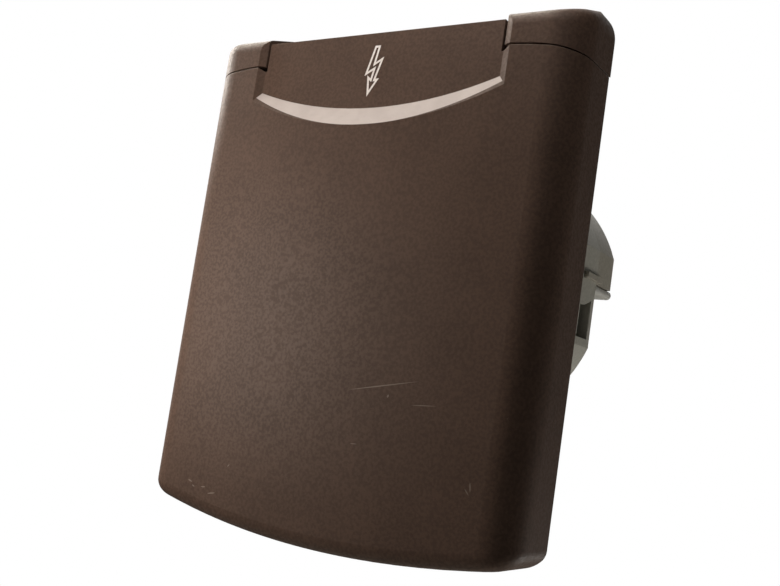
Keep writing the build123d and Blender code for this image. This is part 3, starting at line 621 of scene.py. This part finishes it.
def seen_white(tree, output, base, share=1.0, glossy=0.0):
    """Shows plain white to the eye, and to reflections where glossy says so, and the base to other light."""
    light_path = tree.nodes.new("ShaderNodeLightPath").outputs
    seen = math_node(tree, "MAXIMUM", (0, 0), light_path["Is Camera Ray"], light_path["Is Transmission Ray"])
    seen = math_node(tree, "MULTIPLY", (100, 0), seen, share)
    mirrored = math_node(tree, "MULTIPLY", (100, 200), light_path["Is Glossy Ray"], glossy)
    seen = math_node(tree, "MAXIMUM", (200, 0), seen, mirrored)
    white = node(tree, "ShaderNodeEmission", (0, -200), Color=(1, 1, 1, 1), Strength=1.0)
    mixed = node(tree, "ShaderNodeMixShader", (300, 0), Fac=seen)
    tree.links.new(base, mixed.inputs[1])
    tree.links.new(white.outputs[0], mixed.inputs[2])
    tree.links.new(mixed.outputs[0], output)


floor_white, floor_tree, floor_shader, floor_coords = new_material("floor_white")
floor_shader.inputs["Base Color"].default_value = (*floor_tone, 1)
floor_shader.inputs["Roughness"].default_value = floor_roughness
floor_flat = node(floor_tree, "ShaderNodeMapping", (-700, -300), Vector=floor_coords, Scale=(1.0, 1.0, 0.0))
floor_reach = vector_node(floor_tree, "LENGTH", (-500, -300), floor_flat.outputs[0])
far_away = ramp(floor_tree, (-300, -300), floor_reach, *floor_fade)
floor_surface = floor_tree.nodes["Material Output"].inputs["Surface"]
seen_white(floor_tree, floor_surface, floor_shader.outputs[0], far_away)
bm = bmesh.new()
bmesh.ops.create_grid(bm, x_segments=1, y_segments=1, size=floor_size / 2)
bmesh.ops.translate(bm, verts=bm.verts, vec=(0, 0, cad_box[0][2] - floor_drop))
floor = add_piece("floor", bm, floor_white)

# Studio light: a dim room with a pale side at the rear left, and five soft lamps: one near the left
# of the front, one over the recess, one overhead, one high at the left for the recess's border, and
# one low behind for the drum.
room_dim = (0.045, 0.0435, 0.041)
room_pale = (0.2, 0.195, 0.185)
rear_limits = (-0.1, 0.5)
left_limits = (0.3, -0.2)
world = bpy.data.worlds.new("studio")
bpy.context.scene.world = world
world.use_nodes = True
world_tree = world.node_tree
room = world_tree.nodes["Background"]
direction = world_tree.nodes.new("ShaderNodeTexCoord").outputs["Generated"]
ways = node(world_tree, "ShaderNodeSeparateXYZ", (-600, 0), Vector=direction).outputs
behind = ramp(world_tree, (-400, 0), ways["Y"], *rear_limits)
to_left = ramp(world_tree, (-400, -200), ways["X"], *left_limits)
pale_side = math_node(world_tree, "MULTIPLY", (-200, -100), behind, to_left)
room_colour = mix_colour(world_tree, (0, 0), pale_side, (*room_dim, 1), (*room_pale, 1))
world_tree.links.new(room_colour, room.inputs["Color"])
seen_white(world_tree, world_tree.nodes["World Output"].inputs["Surface"], room.outputs[0], glossy=pale_side)


def soft_lamp(name, place, target, size, power, colour):
    """A soft rectangular lamp that faces a point, in metres and watts."""
    data = bpy.data.lights.new(name, "AREA")
    data.shape = "RECTANGLE"
    data.size, data.size_y = size
    data.energy = power
    data.color = colour
    lamp = bpy.data.objects.new(name, data)
    lamp.location = place
    lamp.rotation_euler = (Vector(target) - Vector(place)).to_track_quat("-Z", "Y").to_euler()
    bpy.context.scene.collection.objects.link(lamp)


soft_lamp(
    "near",
    place=(-0.125, -0.125, -0.015),
    target=(-0.04, -0.02, -0.01),
    size=(0.07, 0.1),
    power=0.222,
    colour=(1.0, 0.91, 0.83),
)
soft_lamp(
    "upper",
    place=(0.02, -0.08, 0.145),
    target=(0.01, -0.02, 0.05),
    size=(0.16, 0.06),
    power=0.12,
    colour=(1.0, 0.95, 0.9),
)
soft_lamp(
    "over",
    place=(-0.25, 0.05, 0.42),
    target=(0, 0, 0.03),
    size=(0.4, 0.3),
    power=3.0,
    colour=(1.0, 0.95, 0.84),
)
soft_lamp(
    "left",
    place=(-0.25, -0.01, 0.15),
    target=(0.04, -0.02, 0.05),
    size=(0.1, 0.1),
    power=0.6,
    colour=(1.0, 0.95, 0.88),
)
soft_lamp(
    "rear",
    place=(0.4, 0.45, -0.42),
    target=(0.045, 0.04, 0),
    size=(0.3, 0.3),
    power=2.6,
    colour=(1.0, 0.97, 0.92),
)

# Camera: the photograph's view, from the right and a little below, rolled to the left. The focal
# length and the optical axis are in pixels of the picture, and the eye's place is in millimetres.
photo_width = 780
photo_height = 586
focal_pixels = 972.2
axis_pixel = (391.6, 318.7)
sensor_width = 36.0
nearest_seen = 0.01
eye = Vector((167.8, -245.3, -46.2)) * MM
forward = Vector((-0.5509, 0.8295, 0.0917)).normalized()
right = Vector((0.8314, 0.5359, 0.1468))
right = (right - forward * right.dot(forward)).normalized()
up = right.cross(forward)
camera_data = bpy.data.cameras.new("camera")
camera_data.sensor_width = sensor_width
camera_data.sensor_fit = "HORIZONTAL"
camera_data.lens = focal_pixels * sensor_width / photo_width
camera_data.shift_x = (photo_width / 2 - axis_pixel[0]) / photo_width
camera_data.shift_y = (axis_pixel[1] - photo_height / 2) / photo_width
camera_data.clip_start = nearest_seen
camera = bpy.data.objects.new("camera", camera_data)
camera.matrix_world = Matrix.Translation(eye) @ Matrix((right, up, -forward)).transposed().to_4x4()
bpy.context.scene.collection.objects.link(camera)
bpy.context.scene.camera = camera
bpy.context.scene.view_settings.view_transform = "Standard"
